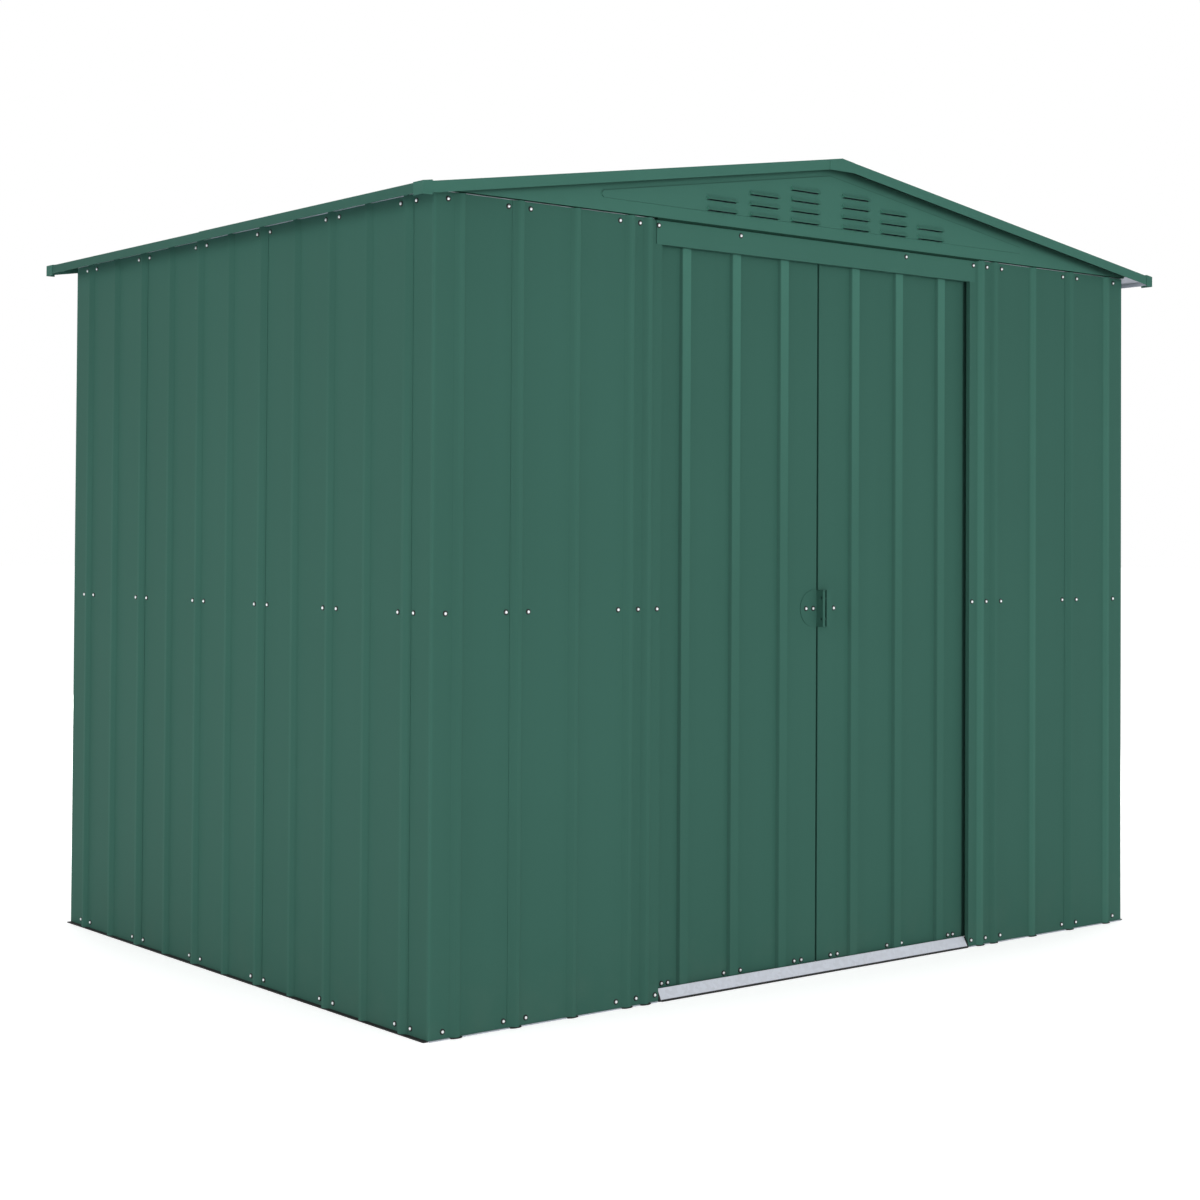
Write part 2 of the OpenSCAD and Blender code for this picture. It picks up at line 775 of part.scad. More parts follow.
// a slider stands on the top brace and hangs from the lips of the track
module door_sliders() {
  seat = track_top - track_h + rail_t + slider_seat_gap;
  head = track_w / 2 - rail_t - slider_side_gap;
  neck = track_w / 2 - rail_t - track_lip - slider_side_gap;
  head_top = track_top - rail_t - slider_side_gap;
  for (x = slider_places)
    along_x(x - slider_l / 2, x + slider_l / 2) translate([track_y, 0])
      polygon([[-neck, door_top_z], [neck, door_top_z], [neck, seat], [head, seat],
        [head, head_top], [-head, head_top], [-head, seat], [-neck, seat]]);
}

module right_door_sliders() { color(plastic) door_sliders(); }
module left_door_sliders() { color(plastic) mirror([1, 0, 0]) door_sliders(); }

// a guide reaches down from the bottom brace into the floor rail
module door_guides() {
  for (x = slider_places)
    translate([x - slider_l / 2, track_y - guide_t / 2, rail_t + guide_gap])
      cube([slider_l, guide_t, door_foot_z - rail_t - guide_gap]);
}

module right_door_guides() { color(plastic) door_guides(); }
module left_door_guides() { color(plastic) mirror([1, 0, 0]) door_guides(); }

// handle: a round-ended plate on the door and a tab with padlock holes standing out from it
module handle_plate(edge) {
  radius = handle_h / 2;
  intersection() {
    union() {
      translate([edge + handle_w - radius, 0]) circle(radius);
      translate([edge, -radius]) square([handle_w - radius, handle_h]);
    }
    translate([edge, -handle_h]) square([handle_w, 2 * handle_h]);
  }
}

// the strip over the tab runs from strip_in to strip_out
module handle_body(edge, strip_in, strip_out) {
  tab_face = door_face_y - tab_d;
  foot = handle_z - handle_h / 2;
  difference() {
    union() {
      along_y(door_face_y - handle_t, door_face_y)
        translate([0, handle_z]) handle_plate(edge);
      translate([edge, tab_face, foot]) cube([handle_t, tab_d, handle_h]);
      translate([strip_in, tab_face, foot])
        cube([strip_out - strip_in, handle_t, handle_h]);
    }
    for (side = [-1, 1])
      translate([edge - 1, tab_face + lock_hole_edge, handle_z + side * lock_hole_pitch / 2])
        rotate([0, 90, 0]) cylinder(d = lock_hole_d, h = handle_t + 2);
  }
}

module right_door_handle() {
  edge = door_in + grip_inset;
  color(paint) handle_body(edge, edge, edge + grip_w);
}

module left_door_handle() {
  edge = door_in - tab_past;
  color(paint) mirror([1, 0, 0])
    handle_body(edge, edge + handle_t - tab_hem, edge + handle_t);
}

front_floor_rail();
back_floor_rail();
side_floor_rails();
door_threshold();
front_left_corner_panel();
front_right_corner_panel();
back_left_corner_panel();
back_right_corner_panel();
left_wall_over_panels();
left_wall_under_panels();
right_wall_over_panels();
right_wall_under_panels();
back_wall_over_panels();
back_wall_under_panels();
front_left_panel();
front_right_panel();
left_door_jamb();
right_door_jamb();
header_plate();
front_top_rail();
back_top_rail();
side_top_rails();
front_mid_rails();
back_mid_rail();
side_mid_rails();
door_top_track();
front_gable();
back_gable();
ridge_beam();
roof_purlins();
left_roof_over_panels();
left_roof_under_panels();
right_roof_over_panels();
right_roof_under_panels();
ridge_cap();
front_eave_trims();
back_eave_trims();
left_gable_trims();
right_gable_trims();
apex_plates();
roof_corner_caps();
left_door_panel();
right_door_panel();
left_door_braces();
right_door_braces();
left_door_sliders();
right_door_sliders();
left_door_guides();
right_door_guides();
left_door_handle();
right_door_handle();
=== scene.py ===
import json
import math

import bmesh
import bpy
from mathutils import Matrix, Vector

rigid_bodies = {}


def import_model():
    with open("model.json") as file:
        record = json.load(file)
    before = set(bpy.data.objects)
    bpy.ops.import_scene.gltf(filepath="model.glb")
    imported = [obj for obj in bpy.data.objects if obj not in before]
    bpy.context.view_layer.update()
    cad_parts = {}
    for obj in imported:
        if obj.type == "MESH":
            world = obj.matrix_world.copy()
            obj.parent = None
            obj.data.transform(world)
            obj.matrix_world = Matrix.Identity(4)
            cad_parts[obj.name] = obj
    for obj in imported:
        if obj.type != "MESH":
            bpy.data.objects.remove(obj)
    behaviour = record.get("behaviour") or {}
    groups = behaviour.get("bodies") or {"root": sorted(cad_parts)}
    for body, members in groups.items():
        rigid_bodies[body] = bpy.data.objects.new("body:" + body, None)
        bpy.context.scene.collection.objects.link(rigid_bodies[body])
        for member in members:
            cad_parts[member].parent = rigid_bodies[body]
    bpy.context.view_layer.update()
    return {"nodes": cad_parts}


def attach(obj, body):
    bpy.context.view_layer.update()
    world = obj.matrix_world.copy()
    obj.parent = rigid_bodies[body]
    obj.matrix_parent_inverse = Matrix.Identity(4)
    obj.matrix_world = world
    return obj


# Blender starts with a cube, a lamp and a camera, which are no part of the shed
for start_up_object in list(bpy.data.objects):
    bpy.data.objects.remove(start_up_object)

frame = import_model()

# sizes of the shed that the screws and strips follow, in millimetres
WALL_X = 1160.0
WALL_Y = 874.0
DOOR_FACE = -849.0
RIB_PITCH = 156.0
SHEET_COVER = 2 * RIB_PITCH
ONE_SHEET = 1.0

# the same, and some more, in metres for the finishes
MM = 0.001
FRAME_HALF_WIDTH = WALL_X * MM
FRAME_HALF_DEPTH = WALL_Y * MM
DOOR_FACE_DEPTH = -DOOR_FACE * MM
GABLE_FACE = 887 * MM
SHEET = ONE_SHEET * MM
WALL_RIB = 10 * MM
ROOF_PITCH = math.radians(8.9)
TAN_PITCH = math.tan(ROOF_PITCH)


# Shader maths


class Wire:
    """One socket of a material's nodes; sums written on wires become Math nodes."""

    def __init__(self, tree, socket=None):
        self.tree = tree
        self.socket = socket

    def add(self, kind, settings=None, sockets=None, output=0):
        node = self.tree.nodes.new(kind)
        for name, value in (settings or {}).items():
            setattr(node, name, value)
        for name, value in (sockets or {}).items():
            if isinstance(value, Wire):
                self.tree.links.new(value.socket, node.inputs[name])
            else:
                node.inputs[name].default_value = value
        return Wire(self.tree, node.outputs[output])

    def math(self, operation, first, second=0.0, third=0.0):
        settings = {"operation": operation}
        return self.add("ShaderNodeMath", settings, {0: first, 1: second, 2: third})

    def __add__(self, other):
        return self.math("ADD", self, other)

    def __radd__(self, other):
        return self.math("ADD", other, self)

    def __sub__(self, other):
        return self.math("SUBTRACT", self, other)

    def __rsub__(self, other):
        return self.math("SUBTRACT", other, self)

    def __mul__(self, other):
        return self.math("MULTIPLY", self, other)

    def __rmul__(self, other):
        return self.math("MULTIPLY", other, self)

    def __truediv__(self, other):
        return self.math("DIVIDE", self, other)

    def __rtruediv__(self, other):
        return self.math("DIVIDE", other, self)

    def __gt__(self, other):
        return self.math("GREATER_THAN", self, other)

    def __abs__(self):
        return self.math("ABSOLUTE", self)

    def sign(self):
        return self.math("SIGN", self)

    def highest(self, other):
        return self.math("MAXIMUM", self, other)

    def ramp(self, start, end):
        """0 before start, 1 after end, and a smooth rise between them."""
        settings = {"interpolation_type": "SMOOTHSTEP"}
        return self.add("ShaderNodeMapRange", settings, {"Value": self, 1: start, 2: end})

    def part(self, axis):
        """One coordinate of a vector wire."""
        return self.add("ShaderNodeSeparateXYZ", sockets={0: self}, output=axis)

    def stretched(self, scale):
        """A vector wire with each coordinate multiplied."""
        settings = {"operation": "MULTIPLY"}
        return self.add("ShaderNodeVectorMath", settings, {0: self, 1: scale})

    def noise(self, scale, detail=2.0, roughness=0.5):
        sockets = {"Vector": self, "Scale": scale, "Detail": detail, "Roughness": roughness}
        return self.add("ShaderNodeTexNoise", sockets=sockets, output="Fac")

    def cells(self, scale):
        """A random grey for each cell of a cell pattern."""
        sockets = {"Vector": self, "Scale": scale}
        return self.add("ShaderNodeTexVoronoi", sockets=sockets, output="Color").part(0)

    def mix(self, first, second):
        """A colour that goes from first to second as this wire goes from 0 to 1."""
        settings = {"data_type": "RGBA"}
        return self.add("ShaderNodeMix", settings, {0: self, 6: first, 7: second}, output=2)

    def shaded(self, colour):
        """A plain colour multiplied by this grey wire."""
        grey = self.add("ShaderNodeCombineXYZ", sockets={0: self, 1: self, 2: self})
        settings = {"operation": "MULTIPLY"}
        return self.add("ShaderNodeVectorMath", settings, {0: colour[:3], 1: grey})

    def bump(self, strength, distance, normal=None):
        sockets = {"Strength": strength, "Distance": distance, "Height": self}
        if normal:
            sockets["Normal"] = normal
        return self.add("ShaderNodeBump", sockets=sockets)


class Finish:
    """A material with its Principled shader and the coordinates that its pattern is drawn in."""

    def __init__(self, name):
        self.material = bpy.data.materials.new(name)
        self.material.use_nodes = True
        tree = self.material.node_tree
        self.shader = tree.nodes["Principled BSDF"]
        self.tree = tree
        nodes = Wire(tree)
        self.place = nodes.add("ShaderNodeTexCoord", output="Object")
        self.normal = nodes.add("ShaderNodeNewGeometry", output="True Normal")

    def set(self, name, value):
        if isinstance(value, Wire):
            self.tree.links.new(value.socket, self.shader.inputs[name])
        else:
            self.shader.inputs[name].default_value = value


def linear(red, green, blue):
    """A screen colour of 0 to 255 as the linear colour that a shader takes."""

    def one(value):
        value = value / 255
        return value / 12.92 if value <= 0.04045 else ((value + 0.055) / 1.055) ** 2.4

    return (one(red), one(green), one(blue), 1.0)


# Which way a sheet faces

# added to the facing of a surface that is green although it faces in or down
COUNTS_AS_OUTSIDE = 2
HOOD_START = 0.2 * MM


def along_front(finish):
    """1 on the front and back walls, 0 on the side walls."""
    x = finish.place.part(0)
    y = finish.place.part(1)
    return (abs(y) / FRAME_HALF_DEPTH) > (abs(x) / FRAME_HALF_WIDTH)


def outward_wall(finish):
    """How far a wall's surface faces out of the shed, from -1 to 1."""
    on_front = along_front(finish)
    front = finish.normal.part(1) * finish.place.part(1).sign()
    side = finish.normal.part(0) * finish.place.part(0).sign()
    return front * on_front + side * (1 - on_front)


def outward_gable(finish):
    """As for a wall, but a louvre's hood is green inside too."""
    hood = abs(finish.place.part(1)) > (GABLE_FACE + HOOD_START)
    return outward_wall(finish) + COUNTS_AS_OUTSIDE * hood


def before_gable(finish):
    """1 on the strip of roof that stands out in front of a gable."""
    x = finish.place.part(0)
    y = finish.place.part(1)
    return (abs(y) > GABLE_FACE) * (1 - (abs(x) > FRAME_HALF_WIDTH))


def outward_roof(finish):
    """How far a roof sheet's surface faces up; the strip in front of a gable counts as outside."""
    return finish.normal.part(2) + COUNTS_AS_OUTSIDE * before_gable(finish)


# how far the normals of a wall are turned towards its flat, so that its ribs shade softly
FRONT_SOFTNESS = 1.2
SIDE_SOFTNESS = 1.8


def soft_shoulders(finish):
    """The normal of a wall's surface, turned some way towards the flat of the wall."""
    on_front = along_front(finish)
    facing = outward_wall(finish).sign()
    flat_x = SIDE_SOFTNESS * facing * finish.place.part(0).sign() * (1 - on_front)
    flat_y = FRONT_SOFTNESS * facing * finish.place.part(1).sign() * on_front
    flat = facing.add("ShaderNodeCombineXYZ", sockets={0: flat_x, 1: flat_y})
    total = facing.add("ShaderNodeVectorMath", {"operation": "ADD"}, {0: finish.normal, 1: flat})
    return facing.add("ShaderNodeVectorMath", {"operation": "NORMALIZE"}, {0: total})


# Painted light and shade on the green sheets

# the flat tops of the ribs get a painted highlight, strongest high up, and weaker on a wall than
# on a door
HIGHLIGHT_TOP = 1750 * MM
HIGHLIGHT_FOOT = 0.03
HIGHLIGHT_GAIN = 0.44
WALL_HIGHLIGHT_SHARE = 0.2
RIB_TOP = (0.6 * WALL_RIB, 0.95 * WALL_RIB)
# three ribs right of the middle get a painted highlight down to their shoulders, on the front and
# the back
BRIGHT_RIBS = (570 * MM, 780 * MM, 1092 * MM)
BRIGHT_RIB_GAIN = 0.24
BRIGHT_RIB_EDGE = (18 * MM, 24 * MM)
BRIGHT_SHOULDER = (0.15 * WALL_RIB, 0.5 * WALL_RIB)
# the ribs of the side walls get a painted highlight in their lower part
SIDE_RIB_GAIN = 0.09
SIDE_SHOULDER = (0.1 * WALL_RIB, 0.4 * WALL_RIB)
SIDE_RIB_FADE = (1.1, 1.6)
# the folds at the four corners get a painted highlight
FOLD_GAIN = 0.12
FOLD_EDGE = (-9 * MM, -3 * MM)


def no_painted_light(finish):
    """A sheet without painted light or shade."""
    return finish.place.part(2) * 0.0


def rib_top_highlight(finish):
    """How strong the painted highlight on a rib's top is at each height."""
    share = finish.place.part(2) / HIGHLIGHT_TOP
    return HIGHLIGHT_FOOT + HIGHLIGHT_GAIN * share * share * share


def wall_painted_highlights(finish):
    """How much painted highlight lightens the ribs of a wall against its flats."""
    x = finish.place.part(0)
    front = abs(finish.place.part(1)) - (FRAME_HALF_DEPTH + SHEET)
    side = abs(x) - (FRAME_HALF_WIDTH + SHEET)
    top_highlight = WALL_HIGHLIGHT_SHARE * rib_top_highlight(finish) * front.ramp(*RIB_TOP)
    bright = no_painted_light(finish)
    for rib in BRIGHT_RIBS:
        bright = bright + (1 - abs(x - rib).ramp(*BRIGHT_RIB_EDGE))
    bright = bright * front.ramp(*BRIGHT_SHOULDER)
    low = 1 - finish.place.part(2).ramp(*SIDE_RIB_FADE)
    side_rib_highlight = side.ramp(*SIDE_SHOULDER) * low
    fold_highlight = side.ramp(*FOLD_EDGE) * front.ramp(*FOLD_EDGE)
    gain = top_highlight.highest(BRIGHT_RIB_GAIN * bright)
    return gain + SIDE_RIB_GAIN * side_rib_highlight + FOLD_GAIN * fold_highlight


def door_painted_highlights(finish):
    """How much painted highlight lightens the flat tops of the door ribs against the flats."""
    depth = abs(finish.place.part(1)) - DOOR_FACE_DEPTH
    return rib_top_highlight(finish) * depth.ramp(*RIB_TOP)


# the upper edge of the gable's pressed field
FIELD_TOP = 1957 * MM
FIELD_TIP = 712 * MM
# painted shade along the crease over the pressed field
CREASE_EDGE = (0.8 * MM, 1.6 * MM)
CREASE_SHADE = 0.30
# the top of the gable, just under the roof, is darkened with painted shadow
ROOF_LINE = 1984 * MM
UNDER_ROOF_SHADOW_REACH = (6 * MM, 26 * MM)
UNDER_ROOF_SHADOW_SHADE = 0.42
# the rounded ends of the louvre hoods get a painted highlight
LOUVRE_END_GAIN = 0.9
LOUVRE_END_TURN = (0.85, 0.95)


def gable_painted_light(finish):
    """Painted highlight on the louvre ends, painted shade along the pressed field's upper edge and
    painted shadow under the roof.
    """
    x = abs(finish.place.part(0))
    height = finish.place.part(2)
    over_field = abs(height + TAN_PITCH * x - FIELD_TOP)
    crease = (1 - over_field.ramp(*CREASE_EDGE)) * (1 - (x > FIELD_TIP))
    ends = abs(finish.normal.part(0)).ramp(*LOUVRE_END_TURN)
    below_roof = ROOF_LINE - TAN_PITCH * x - height
    under_roof_shadow = 1 - below_roof.ramp(*UNDER_ROOF_SHADOW_REACH)
    return LOUVRE_END_GAIN * ends - CREASE_SHADE * crease - UNDER_ROOF_SHADOW_SHADE * under_roof_shadow


# painted shade under the strip of roof that stands before a gable
SOFFIT_SHADE = -0.72
SOFFIT_TURN = (0.0, 0.3)


def soffit_painted_shade(finish):
    """The underside of the strip before a gable is darkened with painted shade."""
    downward = 0 - finish.normal.part(2)
    return SOFFIT_SHADE * before_gable(finish) * downward.ramp(*SOFFIT_TURN)


# Green coated sheet

GREEN = linear(58, 98, 87)
PALE_BACK = linear(212, 213, 226)
BARE_ZINC = linear(176, 181, 190)
DUST = linear(120, 128, 118)
# how much the tone of a sheet varies in clouds, along its grain and in specks
CLOUD_SCALE = 2.3
CLOUD_TONE = 0.08
STREAK_TONE = 0.05
SPECK_SCALE = 260.0
SPECK_TONE = 0.01
LEAST_TONE = 0.93
LEAST_BACK_TONE = 0.94
# dust that has splashed up the foot of the walls
DUST_SHARE = 0.07
DUST_HEIGHT = (10 * MM, 220 * MM)
DUST_SCALE = 9.0
DUST_PATCHES = (0.35, 0.8)
# where a surface counts as a cut edge, and where as the back of a sheet
CUT_EDGE_TURN = (0.9, 0.97)
BACK_TURN = (-0.35, -0.25)
# shine, oil-canning and the grain of the paint
LEAST_ROUGHNESS = 0.42
SHEET_SHINE = 0.03
OIL_CAN_SCALE = 3.1
PAINT_GRAIN_SCALE = 420.0
PAINT_GRAIN = 0.02
RELIEF_STRENGTH = 0.35
RELIEF_DEPTH = 1.2 * MM


def coated_sheet(name, outward, painted_light, grain, tint, has_back, is_soft, cut_edges=0.0):
    """Green coil-coated sheet: rolled streaks, oil-canning, dust at the foot, bare cut edges, and
    painted light and shade.
    """
    finish = Finish(name)
    place = finish.place
    cloud = place.noise(CLOUD_SCALE, 3.0)
    streak = place.stretched(grain).noise(1.0, 3.0, 0.6)
    speck = place.noise(SPECK_SCALE, 2.0, 0.6)
    tone = LEAST_TONE + CLOUD_TONE * cloud + STREAK_TONE * streak + SPECK_TONE * speck
    # painted light and shade from the given function lighten or darken the tone
    tone = tint * tone * (1 + painted_light(finish))
    green = tone.shaded(GREEN)
    dusty = place.noise(DUST_SCALE, 4.0, 0.65).ramp(*DUST_PATCHES)
    foot_dust = (1 - place.part(2).ramp(*DUST_HEIGHT)) * dusty
    colour = (DUST_SHARE * foot_dust).mix(green, DUST)
    if cut_edges:
        cut_edge = abs(finish.normal.part(2)).ramp(*CUT_EDGE_TURN)
        colour = (cut_edges * cut_edge).mix(colour, BARE_ZINC)
    if has_back:
        back = 1 - outward(finish).ramp(*BACK_TURN)
        pale = (LEAST_BACK_TONE + CLOUD_TONE * cloud).shaded(PALE_BACK)
        colour = back.mix(colour, pale)
    finish.set("Base Color", colour)
    finish.set("Roughness", LEAST_ROUGHNESS + 0.10 * cloud + 0.05 * streak + 0.12 * foot_dust)
    finish.set("Specular IOR Level", SHEET_SHINE)
    oil_can = place.noise(OIL_CAN_SCALE, 1.0)
    relief = oil_can + PAINT_GRAIN * place.noise(PAINT_GRAIN_SCALE, 1.0)
    shoulders = soft_shoulders(finish) if is_soft else None
    finish.set("Normal", relief.bump(RELIEF_STRENGTH, RELIEF_DEPTH, shoulders))
    return finish.material


# the streaks of a sheet are long in the direction that it was rolled in
LONG = 0.7
SHORT = 34.0
UP_THE_WALL = (SHORT, SHORT, LONG)
DOWN_THE_SLOPE = (LONG, SHORT, LONG)
ALONG_THE_EAVE = (SHORT, LONG, SHORT)
ALONG_THE_GABLE = (LONG, SHORT, SHORT)

# sheets that lap over their neighbours are a shade lighter than those that lap under
OVER_TINT = 1.015
EDGE_ZINC = 0.5

wall_under = coated_sheet(
    "wall_sheet_under", outward_wall, wall_painted_highlights, UP_THE_WALL,
    tint=1.0, has_back=True, is_soft=True, cut_edges=EDGE_ZINC)
wall_over = coated_sheet(
    "wall_sheet_over", outward_wall, wall_painted_highlights, UP_THE_WALL,
    tint=OVER_TINT, has_back=True, is_soft=True, cut_edges=EDGE_ZINC)
door_green = coated_sheet(
    "door_sheet", outward_wall, door_painted_highlights, UP_THE_WALL,
    tint=1.0, has_back=True, is_soft=True, cut_edges=EDGE_ZINC)
# the gable's green is made lighter, painted light
gable_green = coated_sheet(
    "gable_sheet", outward_gable, gable_painted_light, ALONG_THE_GABLE,
    tint=1.28, has_back=True, is_soft=True)
roof_under = coated_sheet(
    "roof_sheet_under", outward_roof, soffit_painted_shade, DOWN_THE_SLOPE,
    tint=1.0, has_back=True, is_soft=False)
roof_over = coated_sheet(
    "roof_sheet_over", outward_roof, soffit_painted_shade, DOWN_THE_SLOPE,
    tint=OVER_TINT, has_back=True, is_soft=False)
# the eave trims' green is made darker, painted shade
eave_green = coated_sheet(
    "eave_trim_sheet", outward_wall, no_painted_light, ALONG_THE_EAVE,
    tint=0.96, has_back=True, is_soft=False)
# the gable trims' green is made lighter, painted light
trim_green = coated_sheet(
    "gable_trim_sheet", outward_wall, no_painted_light, ALONG_THE_GABLE,
    tint=1.24, has_back=False, is_soft=True)
# the header's green is made lighter, painted light
header_green = coated_sheet(
    "header_sheet", outward_wall, no_painted_light, ALONG_THE_GABLE,
    tint=1.16, has_back=False, is_soft=True)
handle_green = coated_sheet(
    "handle_sheet", outward_wall, no_painted_light, UP_THE_WALL,
    tint=1.0, has_back=False, is_soft=True)


# Zinc, plastic, rubber and foam; the dark rubber and foam also fill places of painted shade

ZINC = linear(203, 208, 217)
BLACK_NYLON = linear(48, 49, 52)
BRIGHT_ZINC = linear(247, 248, 250)
# the dark rubber and the dark green foam also stand where there is only shade, as painted shade
DARK_RUBBER_AND_SHADOW = linear(15, 16, 16)
SHADOW_STRIP_GREEN = linear(24, 52, 43)
CRYSTAL_SCALE = 105.0
SCUFF_STRETCH = (3.0, 60.0, 60.0)
GROUND_SHADE_HEIGHT = (2 * MM, 6 * MM)


def galvanised_steel(name, ground_shade):
    """Hot-dip zinc with its crystals, brighter where it is rubbed, darker at the ground as painted
    shade.
    """
    finish = Finish(name)
    place = finish.place
    crystal = place.cells(CRYSTAL_SCALE)
    patch = place.noise(6.0, 4.0, 0.6)
    scuff = place.stretched(SCUFF_STRETCH).noise(4.0, 3.0, 0.7).ramp(0.55, 0.8)
    tone = 0.86 + 0.12 * crystal + 0.10 * patch + 0.05 * scuff
    # painted shade: the zinc darkens towards the ground
    ground_shading = ground_shade * (1 - place.part(2).ramp(*GROUND_SHADE_HEIGHT))
    finish.set("Base Color", (tone * (1 - ground_shading)).shaded(ZINC))
    finish.set("Metallic", 0.75)
    finish.set("Roughness", 0.34 + 0.14 * crystal + 0.10 * patch - 0.05 * scuff)
    finish.set("Normal", (crystal + 0.5 * patch).bump(0.12, 0.3 * MM))
    return finish.material


def black_plastic():
    """Moulded nylon of the door runners, with a fine grain and rubbed patches."""
    finish = Finish("black_plastic")
    grain = finish.place.noise(900.0, 2.0, 0.6)
    rubbed = finish.place.noise(40.0, 3.0, 0.6).ramp(0.5, 0.75)
    finish.set("Base Color", (0.85 + 0.3 * grain + 0.5 * rubbed).shaded(BLACK_NYLON))
    finish.set("Roughness", 0.55 + 0.12 * grain - 0.15 * rubbed)
    finish.set("Normal", grain.bump(0.25, 0.2 * MM))
    return finish.material


def screw_zinc():
    """Bright zinc of a screw head, with a fine grain and a little tarnish."""
    finish = Finish("screw_zinc")
    tarnish = finish.place.noise(300.0, 3.0, 0.6)
    finish.set("Base Color", (0.90 + 0.2 * tarnish).shaded(BRIGHT_ZINC))
    finish.set("Metallic", 0.9)
    finish.set("Roughness", 0.22 + 0.16 * tarnish)
    finish.set("Normal", finish.place.noise(1500.0, 1.0).bump(0.1, 0.05 * MM))
    return finish.material


def washer_and_shadow_rubber():
    """Dark sealing rubber, as pressed out under a screw head, with a dull bloom; the same dark
    rubber fills places of painted shade under the ribs and at the threshold.
    """
    finish = Finish("washer_and_shadow_rubber")
    bloom = finish.place.noise(500.0, 3.0, 0.6)
    finish.set("Base Color", (0.8 + 0.5 * bloom).shaded(DARK_RUBBER_AND_SHADOW))
    finish.set("Roughness", 0.62 + 0.2 * bloom)
    finish.set("Normal", bloom.bump(0.2, 0.1 * MM))
    return finish.material


def shadow_strip_foam():
    """Dark green closed-cell foam of the strips under the gables' feet, painted shadow."""
    finish = Finish("shadow_strip_foam")
    cell = finish.place.cells(1400.0)
    wear = finish.place.noise(30.0, 3.0, 0.6)
    finish.set("Base Color", (0.7 + 0.3 * cell + 0.3 * wear).shaded(SHADOW_STRIP_GREEN))
    finish.set("Roughness", 0.8 + 0.15 * wear)
    finish.set("Specular IOR Level", 0.05)
    finish.set("Normal", cell.bump(0.3, 0.2 * MM))
    return finish.material


zinc = galvanised_steel("galvanised_steel", ground_shade=0.15)
# the floor rails get a stronger painted shade at the ground
ground_shaded_zinc = galvanised_steel("galvanised_floor_rail", ground_shade=0.75)
plastic = black_plastic()
head_zinc = screw_zinc()
rubber = washer_and_shadow_rubber()
foam = shadow_strip_foam()

# every other node is plain galvanised steel
FINISH_OF_NODE = {
    "front_left_corner_panel": wall_under,
    "front_right_corner_panel": wall_over,
    "back_left_corner_panel": wall_under,
    "back_right_corner_panel": wall_over,
    "left_wall_over_panels": wall_over,
    "left_wall_under_panels": wall_under,
    "right_wall_over_panels": wall_over,
    "right_wall_under_panels": wall_under,
    "back_wall_over_panels": wall_over,
    "back_wall_under_panels": wall_under,
    "front_left_panel": wall_over,
    "front_right_panel": wall_under,
    "left_door_jamb": wall_under,
    "right_door_jamb": wall_over,
    "header_plate": header_green,
    "front_gable": gable_green,
    "back_gable": gable_green,
    "left_roof_over_panels": roof_over,
    "left_roof_under_panels": roof_under,
    "right_roof_over_panels": roof_over,
    "right_roof_under_panels": roof_under,
    "ridge_cap": eave_green,
    "front_eave_trims": eave_green,
    "back_eave_trims": eave_green,
    "left_gable_trims": trim_green,
    "right_gable_trims": trim_green,
    "apex_plates": trim_green,
    "roof_corner_caps": trim_green,
    "left_door_panel": door_green,
    "right_door_panel": door_green,
    "left_door_handle": handle_green,
    "right_door_handle": handle_green,
    "side_floor_rails": ground_shaded_zinc,
    "back_floor_rail": ground_shaded_zinc,
    "left_door_sliders": plastic,
    "right_door_sliders": plastic,
    "left_door_guides": plastic,
    "right_door_guides": plastic,
}

for node_name, node_object in frame["nodes"].items():
    node_object.data.materials.clear()
    node_object.data.materials.append(FINISH_OF_NODE.get(node_name, zinc))


def add_piece(name, mesh, finishes, body):
    """Put a finished mesh into the scene, riding on a body."""
    bmesh.ops.recalc_face_normals(mesh, faces=mesh.faces)
    data = bpy.data.meshes.new(name)
    mesh.to_mesh(data)
    mesh.free()
    for finish in finishes:
        data.materials.append(finish)
    piece = bpy.data.objects.new(name, data)
    bpy.context.scene.collection.objects.link(piece)
    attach(piece, body)


# Screws

HEAD_RADIUS = 3.5 * MM
HEAD_HEIGHT = 2.6 * MM
WASHER_RADIUS = 6.3 * MM
WASHER_HEIGHT = 0.9 * MM
RECESS_REACH = 0.56
RECESS_DEPTH = 0.9 * MM
RIM_SHARE = 0.25
DOME_RINGS = (0.90, 0.74, RECESS_REACH, 0.3, 0.08)
SCREW_SIDES = 24
ARM_EVERY = SCREW_SIDES // 4
# each screw of a wall is turned this many degrees farther than the one before
SPIN_STEP = 37


def lathe(mesh, rings, placing, material_index):
    """Rings of (radius, height, recessed) joined into a closed turned shape."""
    loops = []
    for radius, height, recessed in rings:
        loop = []
        for side in range(SCREW_SIDES):
            angle = 2 * math.pi * side / SCREW_SIDES
            near_arm = min(side % ARM_EVERY, ARM_EVERY - side % ARM_EVERY) <= 1
            sunk = RECESS_DEPTH if recessed and near_arm else 0.0
            point = Vector((radius * math.cos(angle), radius * math.sin(angle), height - sunk))
            loop.append(mesh.verts.new(placing @ point))
        loops.append(loop)
    for face in join_loops(mesh, loops):
        face.material_index = material_index
        face.smooth = True


def join_loops(mesh, loops):
    """Faces between neighbouring loops of corners, and one over each end."""
    faces = []
    for lower, upper in zip(loops, loops[1:]):
        for side in range(len(lower)):
            after = (side + 1) % len(lower)
            corners = (lower[side], lower[after], upper[after], upper[side])
            faces.append(mesh.faces.new(corners))
    faces.append(mesh.faces.new(tuple(reversed(loops[0]))))
    faces.append(mesh.faces.new(tuple(loops[-1])))
    return faces


